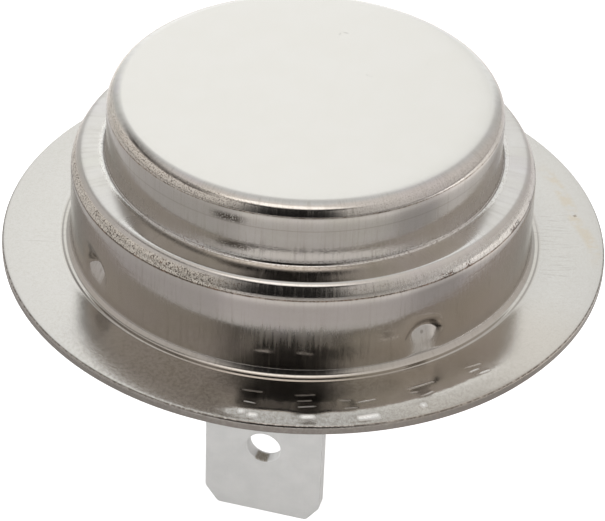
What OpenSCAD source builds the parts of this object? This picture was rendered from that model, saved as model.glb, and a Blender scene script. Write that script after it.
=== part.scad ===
// Disc thermistor temperature sensor: a drawn metal cup with a sensing cap,
// a wide step and a flange, closed by a moulded base with two spade tabs.
// Millimetres. +Z points out of the sensing cap. The origin is on the axis,
// in the plane of the flange's upper face. The front tab is on the -Y side.

/* [Cup] */
// Thickness of the drawn sheet
sheet_t = 0.4; // [0.3:0.05:0.5]
// Radius of the flange
flange_r = 15.65; // [14.5:0.1:18]
// Outer radius of the wide step
step_r = 11.76; // [11.7:0.02:12]
// Height of the wide step above the flange
step_h = 5.14; // [5.0:0.02:5.3]
// Outer bend radius at the top of the step
step_bend_r = 0.65; // [0.6:0.05:0.8]
// Outer radius of the sensing cap
cap_r = 9.92; // [9.9:0.02:10.1]
// Height of the cap's top above the flange
cap_h = 8.53; // [8.4:0.01:9]
// Outer bend radius at the top of the cap
cap_bend_r = 0.75; // [0.6:0.05:0.9]
// Bend radius where the step meets the flange, on the outside
root_bend_r = 0.5; // [0.4:0.05:0.6]
// Bend radius where the cap meets the step, on the outside
neck_bend_r = 0.35; // [0.3:0.05:0.5]

/* [Stakes] */
// Number of stake dents round the step's wall
stake_n = 4; // [2:1:6]
// Direction of the first stake, from the front tab towards +X, in degrees
stake_az = 45; // [30:5:60]
// Width of a stake dent
stake_w = 1.95; // [1.6:0.05:2.2]
// Depth of a stake dent at its deepest, near its top
stake_d = 0.62; // [0.4:0.02:0.7]
// Height of a stake dent's top above the flange
stake_top = 2.85; // [2.6:0.05:3]

/* [Stamped marks] */
// Number of marks stamped in the flange, each a group of plain bars
mark_n = 5; // [1:1:8]
// Direction of the first mark, from the front tab towards +X, in degrees
mark_az = 5.4; // [0:0.2:20]
// Angle between two marks, in degrees
mark_step = 11.8; // [10:0.2:14]
// Distance of a mark's middle from the axis
mark_r = 13.95; // [13.8:0.05:14.2]
// Number of bars in a mark
mark_bars = 3; // [1:1:3]
// Distance between two bars
mark_gap = 0.5; // [0.4:0.05:0.6]
// Length of a bar across the radius
mark_l = 1.0; // [0.6:0.05:1.2]
// Width of a bar
mark_w = 0.16; // [0.1:0.02:0.2]
// Depth of a bar
mark_d = 0.05; // [0.02:0.01:0.08]

/* [Terminals] */
// Width of a spade tab
tab_w = 6.3; // [6.2:0.05:6.4]
// Thickness of a spade tab
tab_t = 0.8; // [0.75:0.01:0.85]
// Distance from the axis to a tab's outer face
tab_y = 6.13; // [6:0.01:6.3]
// Depth of a tab's tip below the flange's upper face
tab_tip = 14.3; // [13.5:0.1:16]
// Width cut off each corner of the tip
tip_cut_x = 0.7; // [0.4:0.05:1]
// Height cut off each corner of the tip
tip_cut_z = 1.0; // [0.6:0.05:1.3]
// Depth of the detent hole's centre below the flange's upper face
hole_z = 9.9; // [9.5:0.1:10.5]
// Radius of the detent hole
hole_r = 0.9; // [0.8:0.01:1]

/* [Base] */
// Radius of the base below its rim
base_r = 10.45; // [10:0.05:10.5]
// Depth of the base's lower face below the flange's upper face
base_bottom = 4.2; // [4:0.1:4.5]
// Depth of the seats that keep the tabs from turning
seat_d = 0.5; // [0.3:0.05:0.6]
// Height of the barrier rib between the tabs
rib_h = 2.0; // [1:0.1:2.4]
// Thickness of the barrier rib
rib_t = 1.2; // [1:0.1:1.4]

/* [Inside] */
// Radius of the thermistor disc
disc_r = 2.5; // [2:0.1:3]
// Thickness of the thermistor disc
disc_t = 1.6; // [1.4:0.1:1.8]
// Thickness of the inner contacts
contact_t = 0.3; // [0.25:0.01:0.35]
// Thickness of the insulating film
film_t = 0.13; // [0.1:0.01:0.2]

/* [Hidden] */
$fn = 96;
cap_in = cap_h - sheet_t;             // inner face of the cap's end wall
step_in = step_h - sheet_t;           // inner face of the step's shoulder
bore_r = step_r - sheet_t;            // inner radius of the wide step
flare_z = 1.6;                        // the step's wall opens out below this
flare_r = step_r + 0.14;              // radius of the wall where the root bend starts
rim_r = bore_r - 0.06;                // radius of the base's rim
stake_lean = atan(stake_d / (stake_top - 0.45));
rim_z = stake_top + 0.25;             // lower face of the base's rim
well_r = 8.2;                         // radius of the base's inner well
well_z = -base_bottom + 2.6;          // floor of the well
seat_z = -base_bottom + seat_d;       // face that each tab's foot lies on
foot_z = seat_z - tab_t;              // outer face of a tab's foot
rivet_y = 3.3;                        // distance of a rivet from the axis
rivet_r = 1.2;                        // radius of a rivet's shank
rivet_hole_r = 1.25;                  // radius of the holes that a rivet goes through
foot_in = 1.3;                        // distance of a foot's inner end from the axis
plate_z = cap_in - film_t - contact_t;   // lower face of the contact plate
disc_z = plate_z - disc_t;            // lower face of the thermistor disc
carrier_r = cap_r - sheet_t - 0.2;    // outer radius of the carrier

// Section of the cup's outer surface, filled in to the axis
module outer_section() {
    square([cap_r - cap_bend_r, cap_h]);
    square([cap_r, cap_h - cap_bend_r]);
    translate([cap_r - cap_bend_r, cap_h - cap_bend_r]) circle(r = cap_bend_r);
    difference() {
        translate([cap_r - 0.2, step_h - 0.2]) square(neck_bend_r + 0.2);
        translate([cap_r + neck_bend_r, step_h + neck_bend_r]) circle(r = neck_bend_r);
    }
    square([step_r - step_bend_r, step_h]);
    square([step_r, step_h - step_bend_r]);
    translate([step_r - step_bend_r, step_h - step_bend_r]) circle(r = step_bend_r);
    polygon([[step_r - 1, 0], [flare_r, 0], [flare_r, root_bend_r], [step_r, flare_z], [step_r - 1, flare_z]]);
    difference() {
        translate([flare_r - 0.3, -0.2]) square([root_bend_r + 0.3, root_bend_r + 0.2]);
        translate([flare_r + root_bend_r, root_bend_r]) circle(r = root_bend_r);
    }
    translate([0, -sheet_t]) square([flange_r, sheet_t]);
}

// Section of the hollow inside the cup
module inner_section() {
    cb = cap_bend_r - sheet_t;
    sb = step_bend_r - sheet_t;
    nb = neck_bend_r + sheet_t;
    rb = root_bend_r + sheet_t;
    fr = flare_r - sheet_t;
    translate([0, -1]) square([cap_r - sheet_t - cb, cap_in + 1]);
    translate([0, -1]) square([cap_r - sheet_t, cap_in - cb + 1]);
    translate([cap_r - sheet_t - cb, cap_in - cb]) circle(r = cb);
    difference() {
        translate([cap_r - sheet_t - 0.2, step_in - 0.2]) square([nb + 0.2, nb + 0.2]);
        translate([cap_r + neck_bend_r, step_h + neck_bend_r]) circle(r = nb);
    }
    translate([0, -1]) square([bore_r - sb, step_in + 1]);
    translate([0, -1]) square([bore_r, step_in - sb + 1]);
    translate([bore_r - sb, step_in - sb]) circle(r = sb);
    polygon([[bore_r - 1, -1], [fr, -1], [fr, root_bend_r], [bore_r, flare_z], [bore_r - 1, flare_z]]);
    difference() {
        translate([fr - 0.3, -1]) square([rb + 0.3, root_bend_r + 1]);
        translate([flare_r + root_bend_r, root_bend_r]) circle(r = rb);
        translate([flare_r + root_bend_r, -2]) square([2, 3]);
    }
}

// The tool that forms one stake: a round-topped punch whose flat face leans
// inwards towards the top. grow widens it, in moves its face towards the axis.
module punch(grow, in, up) {
    w = stake_w / 2 + grow;
    translate([step_r, 0, 0.45]) rotate([0, -stake_lean, 0]) translate([-in, 0, 0]) {
        translate([0, -w, -up]) cube([3, 2 * w, stake_top - 0.45 - w + grow + 2 * up]);
        translate([0, 0, stake_top - 0.45 - w + grow + up]) rotate([0, 90, 0]) cylinder(r = w, h = 3, $fn = 48);
    }
}

module at_stakes() {
    for (i = [0 : stake_n - 1]) rotate([0, 0, -90 + stake_az + i * 360 / stake_n]) children();
}

// One stamped mark: plain bars one behind the other
module mark() {
    for (k = [0 : mark_bars - 1])
        translate([-mark_l / 2, (k - (mark_bars - 1) / 2) * mark_gap - mark_w / 2, 0]) cube([mark_l, mark_w, 1]);
}

module sensor_cup() {
    color([0.72, 0.70, 0.66])
    difference() {
        union() {
            rotate_extrude() difference() {
                outer_section();
                inner_section();
            }
            at_stakes() intersection() {
                punch(0.22, sheet_t * 0.85, 0);
                translate([0, 0, 0.2]) cylinder(r = step_r - 0.12, h = stake_top + 1);
            }
        }
        at_stakes() punch(0, 0, 0);
        for (i = [0 : mark_n - 1]) rotate([0, 0, mark_az + i * mark_step])
            translate([0, -mark_r, -mark_d]) mark();
    }
}

module insulating_base() {
    color([0.09, 0.085, 0.08])
    difference() {
        union() {
            translate([0, 0, -base_bottom]) cylinder(r = base_r, h = base_bottom + rim_z + 0.2);
            translate([0, 0, rim_z]) cylinder(r = rim_r, h = step_in - 0.35 - rim_z);
            translate([0, 0, step_in - 0.35]) cylinder(r1 = rim_r, r2 = rim_r - 0.35, h = 0.35);
            translate([-7, -rib_t / 2, -base_bottom - rib_h]) cube([14, rib_t, rib_h + 1]);
        }
        translate([0, 0, well_z]) cylinder(r = well_r, h = 20);
        for (s = [-1, 1]) {
            translate([-tab_w / 2 - 0.08, s > 0 ? foot_in - 0.1 : -tab_y - 0.1, -base_bottom - 1])
                cube([tab_w + 0.16, tab_y - foot_in + 0.2, seat_d + 1]);
            translate([0, s * rivet_y, -base_bottom - 1]) cylinder(r = rivet_hole_r, h = 6, $fn = 48);
        }
    }
}

// A spade tab with its foot on the -Y side, bent from one strip
module tab() {
    br = 0.3 + tab_t;
    difference() {
        union() {
            translate([-tab_w / 2, -tab_y + br, foot_z]) cube([tab_w, tab_y - br - foot_in, tab_t]);
            intersection() {
                translate([0, -tab_y + br, seat_z - br]) rotate([0, 90, 0]) difference() {
                    cylinder(r = br, h = tab_w, center = true);
                    cylinder(r = 0.3, h = tab_w + 1, center = true);
                }
                translate([-tab_w / 2 - 1, -tab_y - 1, seat_z - br]) cube([tab_w + 2, br + 1, br + 1]);
            }
            translate([0, -tab_y, 0]) rotate([-90, 0, 0]) linear_extrude(tab_t)
                polygon([[-tab_w / 2, br - seat_z], [tab_w / 2, br - seat_z],
                         [tab_w / 2, tab_tip - tip_cut_z], [tab_w / 2 - tip_cut_x, tab_tip],
                         [-tab_w / 2 + tip_cut_x, tab_tip], [-tab_w / 2, tab_tip - tip_cut_z]]);
        }
        translate([0, -tab_y - 1, -hole_z]) rotate([-90, 0, 0]) cylinder(r = hole_r, h = tab_t + 2, $fn = 48);
        translate([0, -rivet_y, foot_z - 1]) cylinder(r = rivet_hole_r, h = tab_t + 2, $fn = 48);
    }
}

module terminal_front() { color([0.76, 0.76, 0.75]) tab(); }
module terminal_back() { color([0.76, 0.76, 0.75]) rotate([0, 0, 180]) tab(); }

// A tubular rivet from the inner contact to the tab's foot, with two heads
module rivet() {
    top = well_z + contact_t;
    difference() {
        union() {
            translate([0, 0, foot_z - 0.1]) cylinder(r = rivet_r, h = top - foot_z + 0.2);
            translate([0, 0, top]) cylinder(r = 1.85, h = 0.45);
            translate([0, 0, foot_z - 0.45]) cylinder(r = 1.75, h = 0.45);
        }
        translate([0, 0, foot_z - 1]) cylinder(r = 0.75, h = top - foot_z + 0.8);
    }
}

module rivet_front() { color([0.80, 0.72, 0.50]) translate([0, -rivet_y, 0]) rivet(); }
module rivet_back() { color([0.80, 0.72, 0.50]) translate([0, rivet_y, 0]) rivet(); }

// A strip bent along straight runs: its side view is a chain of bars with
// round joints, and w is its width
module strip(pts, t, w) {
    rotate([90, 0, 90]) linear_extrude(w, center = true) {
        for (i = [0 : len(pts) - 2]) {
            d = pts[i + 1] - pts[i];
            translate(pts[i]) rotate(atan2(d[1], d[0])) translate([0, -t / 2]) square([norm(d), t]);
        }
        if (len(pts) > 2) for (i = [1 : len(pts) - 2]) translate(pts[i]) circle(d = t, $fn = 32);
    }
}

module contact_spring() {
    ct = contact_t;
    fz = well_z + ct / 2;
    tz = disc_z - ct / 2;
    color([0.78, 0.58, 0.36])
    difference() {
        strip([[-1.4, fz], [-6.6, fz], [-7.0, fz + 0.9], [-7.0, 3.0], [-2.7, tz], [1.6, tz], [2.3, tz - 0.6]], ct, 3.2);
        translate([0, -rivet_y, well_z - 1]) cylinder(r = rivet_hole_r, h = 2, $fn = 48);
    }
}

module contact_plate() {
    ct = contact_t;
    fz = well_z + ct / 2;
    tz = plate_z + ct / 2;
    color([0.80, 0.72, 0.50])
    difference() {
        union() {
            translate([0, 0, plate_z]) cylinder(r = 3.2, h = ct);
            strip([[1.4, fz], [6.6, fz], [7.0, fz + 0.5], [7.0, tz - 0.3], [6.7, tz], [0, tz]], ct, 3.2);
        }
        translate([0, rivet_y, well_z - 1]) cylinder(r = rivet_hole_r, h = 2, $fn = 48);
    }
}

module thermistor_disc() {
    color([0.30, 0.31, 0.32])
    translate([0, 0, disc_z]) cylinder(r = disc_r, h = disc_t);
}

module thermistor_carrier() {
    color([0.88, 0.86, 0.80])
    difference() {
        translate([0, 0, step_in]) cylinder(r = carrier_r, h = plate_z - step_in);
        translate([0, 0, step_in - 1]) cylinder(r = well_r, h = plate_z - 1.1 - step_in + 1);
        translate([0, 0, step_in - 1]) cylinder(r = disc_r + 0.06, h = 10);
        translate([-1.8, 6.2, step_in - 1]) cube([3.6, 1.3, 10]);
    }
}

module insulating_film() {
    color([0.85, 0.55, 0.15])
    translate([0, 0, cap_in - film_t]) cylinder(r = 9.0, h = film_t);
}

sensor_cup();
insulating_base();
terminal_front();
terminal_back();
rivet_front();
rivet_back();
contact_spring();
contact_plate();
thermistor_disc();
thermistor_carrier();
insulating_film();
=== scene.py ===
"""Looks of the disc temperature sensor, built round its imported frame."""

import math

import bmesh
import bpy
import numpy as np
from mathutils import Matrix, Vector


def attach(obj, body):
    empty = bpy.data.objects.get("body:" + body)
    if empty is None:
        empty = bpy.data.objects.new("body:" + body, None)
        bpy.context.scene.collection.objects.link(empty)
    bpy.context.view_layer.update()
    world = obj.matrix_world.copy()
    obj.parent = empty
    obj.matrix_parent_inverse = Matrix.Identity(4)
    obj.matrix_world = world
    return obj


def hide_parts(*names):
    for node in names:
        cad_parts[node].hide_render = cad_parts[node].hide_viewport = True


MM = 0.001
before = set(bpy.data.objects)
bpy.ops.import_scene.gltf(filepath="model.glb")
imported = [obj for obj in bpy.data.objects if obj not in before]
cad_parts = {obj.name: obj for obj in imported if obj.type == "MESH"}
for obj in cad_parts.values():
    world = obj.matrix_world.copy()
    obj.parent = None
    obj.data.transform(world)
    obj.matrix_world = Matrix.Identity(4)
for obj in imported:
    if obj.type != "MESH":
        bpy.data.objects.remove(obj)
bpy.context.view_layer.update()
scene = bpy.context.scene

# --------------------------------------------------------------------------
# Sizes in millimetres, as in the frame: z = 0 is the flange's upper face
# --------------------------------------------------------------------------
FLANGE_R = 15.5
SHEET = 0.4
STEP_R, STEP_H = 11.76, 5.14
CAP_R, CAP_H = 9.92, 8.53
FLOOR_Z = -14.3
TURN = 14.2  # the photograph looks at the part from this azimuth
STAKES = (45.0, 135.0, 225.0, 315.0)
MARKS = [5.4 + 11.8 * i for i in range(5)]
TRIM_OFF, TRIM_AZ = 0.15, 104.2  # the flange is trimmed a little off the axis


# --------------------------------------------------------------------------
# Camera
# --------------------------------------------------------------------------
def make_camera():
    el, roll = math.radians(37.068), math.radians(-2.333)
    f_px, dist = 2398.127, 123.896
    cx, cy, u0, v0 = 302.397, 260.155, 300.952, 229.61
    fwd = Vector((0, math.cos(el), -math.sin(el)))
    right, up = Vector((1, 0, 0)), Vector((0, math.sin(el), math.cos(el)))
    ox, oy = (u0 - cx) / f_px * dist, -(v0 - cy) / f_px * dist
    c, s = math.cos(roll), math.sin(roll)
    r2, u2 = c * right - s * up, s * right + c * up
    pos = -ox * r2 - oy * u2 - dist * fwd
    turn = Matrix.Rotation(math.radians(TURN), 3, "Z")
    rot = Matrix((turn @ r2, turn @ u2, turn @ -fwd)).transposed()
    cam = bpy.data.cameras.new("camera")
    cam.sensor_fit, cam.sensor_width = "HORIZONTAL", 36.0
    cam.lens = f_px / 605 * 36.0
    cam.shift_x = (605 / 2 - cx) / 605
    cam.shift_y = (cy - 521 / 2) / 605
    cam.clip_start, cam.clip_end = 0.005, 20
    ob = bpy.data.objects.new("camera", cam)
    ob.matrix_world = Matrix.Translation(turn @ pos * MM) @ rot.to_4x4()
    scene.collection.objects.link(ob)
    scene.camera = ob


make_camera()


# --------------------------------------------------------------------------
# Node helpers
# --------------------------------------------------------------------------
class Tree:
    def __init__(self, tree):
        self.t = tree
        self.n = tree.nodes
        self.n.clear()

    def add(self, kind, **props):
        node = self.n.new(kind)
        for k, v in props.items():
            setattr(node, k, v)
        return node

    def put(self, socket, value):
        if isinstance(value, bpy.types.NodeSocket):
            self.t.links.new(value, socket)
        elif value is not None:
            socket.default_value = value

    def m(self, op, a, b=None, c=None, clamp=False):
        node = self.add("ShaderNodeMath", operation=op, use_clamp=clamp)
        for i, v in enumerate((a, b, c)):
            if v is not None:
                self.put(node.inputs[i], v)
        return node.outputs[0]

    def sm(self, x, a, b, lo=0.0, hi=1.0):
        """Smooth step from lo at a to hi at b."""
        node = self.add("ShaderNodeMapRange", interpolation_type="SMOOTHSTEP")
        self.put(node.inputs["Value"], x)
        if a <= b:
            vals = (a, b, lo, hi)
        else:
            vals = (b, a, hi, lo)
        for name, v in zip(("From Min", "From Max", "To Min", "To Max"), vals):
            node.inputs[name].default_value = v
        return node.outputs["Result"]

    def lin(self, x, a, b, lo=0.0, hi=1.0):
        node = self.add("ShaderNodeMapRange", interpolation_type="LINEAR")
        self.put(node.inputs["Value"], x)
        for name, v in zip(("From Min", "From Max", "To Min", "To Max"), (a, b, lo, hi)):
            node.inputs[name].default_value = v
        return node.outputs["Result"]

    def xyz(self, x=0.0, y=0.0, z=0.0):
        node = self.add("ShaderNodeCombineXYZ")
        for i, v in enumerate((x, y, z)):
            self.put(node.inputs[i], v)
        return node.outputs[0]

    def sep(self, v):
        node = self.add("ShaderNodeSeparateXYZ")
        self.put(node.inputs[0], v)
        return node.outputs

    def noise(self, vec, scale, detail=2.0, rough=0.5, dist=0.0, dims="3D"):
        node = self.add("ShaderNodeTexNoise", noise_dimensions=dims)
        self.put(node.inputs["Vector"], vec)
        node.inputs["Scale"].default_value = scale
        node.inputs["Detail"].default_value = detail
        node.inputs["Roughness"].default_value = rough
        node.inputs["Distortion"].default_value = dist
        return node.outputs["Fac"]

    def vor(self, vec, scale, feature="F1"):
        node = self.add("ShaderNodeTexVoronoi", feature=feature)
        self.put(node.inputs["Vector"], vec)
        node.inputs["Scale"].default_value = scale
        return node.outputs

    def mix(self, fac, a, b, mode="MIX"):
        node = self.add("ShaderNodeMix", data_type="RGBA", blend_type=mode)
        self.put(node.inputs[0], fac)
        for sock, v in ((node.inputs[6], a), (node.inputs[7], b)):
            if isinstance(v, (tuple, list)) and len(v) == 3:
                v = (*v, 1.0)
            self.put(sock, v)
        return node.outputs[2]

    def bump(self, height, dist, strength=1.0, normal=None):
        node = self.add("ShaderNodeBump")
        self.put(node.inputs["Height"], height)
        node.inputs["Distance"].default_value = dist
        node.inputs["Strength"].default_value = strength
        if normal is not None:
            self.put(node.inputs["Normal"], normal)
        return node.outputs[0]


def material(name):
    mat = bpy.data.materials.new(name)
    mat.use_nodes = True
    t = Tree(mat.node_tree)
    out = t.add("ShaderNodeOutputMaterial")
    b = t.add("ShaderNodeBsdfPrincipled")
    t.t.links.new(b.outputs[0], out.inputs[0])
    return mat, t, b


def place(t):
    """Position in millimetres, and azimuth, radius and height round the axis."""
    co = t.add("ShaderNodeTexCoord").outputs["Object"]
    v = t.add("ShaderNodeVectorMath", operation="SCALE")
    t.put(v.inputs[0], co)
    v.inputs["Scale"].default_value = 1000.0
    p = v.outputs[0]
    x, y, z = t.sep(p)
    az = t.m("ARCTAN2", x, t.m("MULTIPLY", y, -1.0))
    r = t.m("SQRT", t.m("ADD", t.m("MULTIPLY", x, x), t.m("MULTIPLY", y, y)))
    return p, x, y, z, az, r


# --------------------------------------------------------------------------
# Studio: a white tent, open towards the camera's side
# --------------------------------------------------------------------------
def make_world():
    world = bpy.data.worlds.new("studio")
    scene.world = world
    world.use_nodes = True
    t = Tree(world.node_tree)
    out = t.add("ShaderNodeOutputWorld")
    bg = t.add("ShaderNodeBackground")
    t.t.links.new(bg.outputs[0], out.inputs[0])
    d = t.add("ShaderNodeTexCoord").outputs["Generated"]
    x, y, z = t.sep(d)
    a0 = math.radians(TURN)
    # x2, y2: the direction turned so that -Y faces the photograph's viewpoint
    x2 = t.m("ADD", t.m("MULTIPLY", x, math.cos(a0)), t.m("MULTIPLY", y, math.sin(a0)))
    y2 = t.m("SUBTRACT", t.m("MULTIPLY", y, math.cos(a0)), t.m("MULTIPLY", x, math.sin(a0)))
    az = t.m("MULTIPLY", t.m("ARCTAN2", x2, t.m("MULTIPLY", y2, -1.0)), 180 / math.pi)
    el = t.m("MULTIPLY", t.m("ARCSINE", z), 180 / math.pi)

    def off(centre):
        """Angle between the azimuth and a centre, from 0 to 180."""
        q = t.m("WRAP", t.m("SUBTRACT", az, centre), 180.0, -180.0)
        return t.m("ABSOLUTE", q)

    def lerp(k, a_, b_):
        return t.m("ADD", a_, t.m("MULTIPLY", k, t.m("SUBTRACT", b_, a_)))

    # side walls, brighter towards the back
    side = t.m("ADD", t.sm(off(0.0), 45, 145, 0.55, 0.63), t.sm(el, 12, 50, 0.0, 0.09))
    side = t.m("ADD", side, t.m("MULTIPLY", t.m("MULTIPLY", t.sm(az, 35, 60), t.sm(az, 110, 138, 1.0, 0.0)), 0.065))
    # bright back wall
    back = t.m("MAXIMUM", t.sm(off(-174.5), 6.5, 30, 1.0, 0.0), t.sm(off(168.0), 8, 22, 0.72, 0.0))
    side = lerp(back, side, 1.33)
    # ceiling, with a lamp panel above the opening
    roof = t.m("ADD", 0.76, t.sm(el, 70, 86, 0.0, 0.14))
    e = lerp(t.sm(el, 50, 66), side, roof)
    panel = t.m("MULTIPLY", t.sm(el, 60, 70), t.sm(el, 80, 89, 1.0, 0.0))
    panel = t.m("MULTIPLY", panel, t.m("MULTIPLY", t.sm(az, -88, -66), t.sm(az, 24, 60, 1.0, 0.0)))
    e = t.m("ADD", e, t.m("MULTIPLY", panel, 0.85))
    # dark gap between the left wall and the ceiling
    gap_el = t.sm(az, -146, -88, 42.0, 55.0)
    gap = t.sm(t.m("ABSOLUTE", t.m("SUBTRACT", el, gap_el)), 1.5, 9.0, 0.74, 0.0)
    gap = t.m("MULTIPLY", gap, t.m("MULTIPLY", t.sm(az, -166, -132, 0.0, 1.0), t.sm(az, -74, -50, 1.0, 0.0)))
    e = t.m("MULTIPLY", e, t.m("SUBTRACT", 1.0, gap))
    # the dark opening behind the camera
    wide = t.sm(el, 44, 54, 0.0, 12.0)
    left_edge = t.sm(t.m("ADD", az, wide), -45, -19)
    right_edge = t.sm(t.m("SUBTRACT", az, wide), 16, 27, 1.0, 0.0)
    dark = t.m("MULTIPLY", t.m("MULTIPLY", left_edge, right_edge), t.sm(el, 57, 67, 1.0, 0.0))
    e = t.m("MULTIPLY", e, t.m("SUBTRACT", 1.0, t.m("MULTIPLY", dark, 0.980)))
    # dimmer near the table's edge
    front = t.sm(off(0.0), 95, 140, 1.0, 0.0)
    hor = t.m("MULTIPLY", front, t.sm(t.m("ABSOLUTE", el), 1, 6, 0.45, 0.0))
    e = t.m("MULTIPLY", e, t.m("SUBTRACT", 1.0, hor))
    e = t.m("MULTIPLY", e, 1.18)
    cool = t.sm(off(180.0), 22, 60, 1.0, 0.0)
    tint = t.mix(cool, (1.025, 0.995, 0.98), (0.965, 1.005, 1.03))
    t.put(bg.inputs["Color"], tint)
    t.put(bg.inputs["Strength"], e)


make_world()


def make_floor():
    me = bpy.data.meshes.new("floor")
    s = 0.9
    me.from_pydata([(-s, -s, 0), (s, -s, 0), (s, s, 0), (-s, s, 0)], [], [(0, 1, 2, 3)])
    ob = bpy.data.objects.new("floor", me)
    ob.location = (0, 0, FLOOR_Z * MM)
    scene.collection.objects.link(ob)
    mat = bpy.data.materials.new("floor_paper")
    mat.use_nodes = True
    t = Tree(mat.node_tree)
    out = t.add("ShaderNodeOutputMaterial")
    co = t.add("ShaderNodeTexCoord").outputs["Object"]
    grain = t.noise(co, 900, 3, 0.6)
    x, y, z = t.sep(co)
    a0 = math.radians(TURN)
    x2 = t.m("ADD", t.m("MULTIPLY", x, math.cos(a0)), t.m("MULTIPLY", y, math.sin(a0)))
    y2 = t.m("SUBTRACT", t.m("MULTIPLY", y, math.cos(a0)), t.m("MULTIPLY", x, math.sin(a0)))
    # painted light: the paper's colour is made lighter in front and behind and darker on the left and the right,
    # standing in for uneven light
    turn = t.m("MULTIPLY", t.m("ARCTAN2", x2, t.m("MULTIPLY", y2, -1.0)), 180 / math.pi)
    dist = t.m("SQRT", t.m("ADD", t.m("MULTIPLY", x, x), t.m("MULTIPLY", y, y)))
    on_left, on_right = t.sm(turn, -36, -26, 1.0, 0.0), t.sm(turn, 30, 48)
    painted_paper_light = t.m("SUBTRACT", 1.0, t.m("MULTIPLY", on_left, t.sm(dist, 0.036, 0.049, 0.17, 0.36)))
    painted_paper_light = t.m("MULTIPLY", painted_paper_light, t.m("SUBTRACT", 1.0, t.m("MULTIPLY", on_right, t.sm(dist, 0.036, 0.049, 0.11, -0.04))))
    painted_paper_light = t.m("MULTIPLY", painted_paper_light, t.sm(turn, -120, -70, 1.25, 1.0))
    low = t.m("MULTIPLY", t.m("MULTIPLY", t.sm(turn, 44, 53), t.sm(turn, 68, 78, 1.0, 0.0)), t.sm(dist, 0.026, 0.040))
    painted_paper_light = t.m("MULTIPLY", painted_paper_light, t.m("SUBTRACT", 1.0, t.m("MULTIPLY", low, 0.28)))
    beside = t.m("MULTIPLY", t.sm(turn, 70, 88), t.sm(turn, 110, 126, 1.0, 0.0))
    painted_paper_light = t.m("MULTIPLY", painted_paper_light, t.m("ADD", 1.0, t.m("MULTIPLY", beside, 0.30)))
    painted_paper_light = t.m("MULTIPLY", painted_paper_light, t.sm(dist, 0.034, 0.052, 0.92, 1.28))
    ahead = t.sm(t.m("ABSOLUTE", turn), 40, 65, 1.0, 0.0)
    painted_paper_light = t.m("MULTIPLY", painted_paper_light, t.m("SUBTRACT", 1.0, t.m("MULTIPLY", ahead, t.sm(dist, 0.062, 0.135, 0.0, 0.42))))
    pale = t.mix(t.lin(grain, 0, 1, 0.0, 1.0), (0.70, 0.687, 0.682), (0.735, 0.722, 0.718))
    col = t.mix(1.0, pale, t.xyz(painted_paper_light, painted_paper_light, painted_paper_light), "MULTIPLY")
    # painted light: behind the part the paper glows, for every ray but the camera's
    aside = t.m("ABSOLUTE", t.m("WRAP", t.m("SUBTRACT", turn, -172.0), 180.0, -180.0))
    far = t.m("ADD", t.sm(aside, 15, 40, 0.46, 0.0), t.sm(aside, 20, 75, 0.14, 0.0))
    dif = t.add("ShaderNodeBsdfDiffuse")
    t.put(dif.inputs["Color"], col)
    glow = t.add("ShaderNodeEmission")
    t.put(glow.inputs["Strength"], far)
    body = t.add("ShaderNodeAddShader")
    t.t.links.new(dif.outputs[0], body.inputs[0])
    t.t.links.new(glow.outputs[0], body.inputs[1])
    lit = t.add("ShaderNodeEmission")
    lit.inputs["Color"].default_value = (1, 1, 1, 1)
    lit.inputs["Strength"].default_value = 0.92
    both = t.add("ShaderNodeAddShader")
    t.t.links.new(dif.outputs[0], both.inputs[0])
    t.t.links.new(lit.outputs[0], both.inputs[1])
    clear = t.add("ShaderNodeBsdfTransparent")
    path = t.add("ShaderNodeLightPath")
    seen = t.add("ShaderNodeMixShader")
    t.put(seen.inputs[0], path.outputs["Is Camera Ray"])
    t.t.links.new(body.outputs[0], seen.inputs[1])
    t.t.links.new(both.outputs[0], seen.inputs[2])
    geo = t.add("ShaderNodeNewGeometry")
    side = t.add("ShaderNodeMixShader")
    t.put(side.inputs[0], geo.outputs["Backfacing"])
    t.t.links.new(seen.outputs[0], side.inputs[1])
    t.t.links.new(clear.outputs[0], side.inputs[2])
    t.t.links.new(side.outputs[0], out.inputs[0])
    me.materials.append(mat)


make_floor()


def make_fill(name, turn, energy):
    """A weak soft lamp low down, so that the tab below the flange reads."""
    lamp = bpy.data.lights.new(name, "AREA")
    lamp.shape, lamp.size, lamp.energy = "SQUARE", 0.10, energy
    lamp.color = (0.985, 1.0, 1.0)
    ob = bpy.data.objects.new(name, lamp)
    az = math.radians(TURN + turn)
    ob.location = (0.24 * math.sin(az), -0.24 * math.cos(az), 0.030)
    aim = Vector((0, -0.006, -0.010)) - ob.location
    ob.rotation_euler = aim.to_track_quat("-Z", "Y").to_euler()
    ob.visible_glossy = False
    scene.collection.objects.link(ob)


make_fill("fill_left", -42, 0.215)
make_fill("fill_right", 80, 0.150)
scene.view_settings.view_transform = "Standard"
scene.view_settings.look = "None"
scene.view_settings.exposure = 0.0
scene.view_settings.gamma = 1.0


# --------------------------------------------------------------------------
# The cup: one drawn sheet, as a turned surface with its dents pressed in
# --------------------------------------------------------------------------
def sstep(x, a, b):
    q = np.clip((x - a) / (b - a), 0, 1)
    return q * q * (3 - 2 * q)


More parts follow.
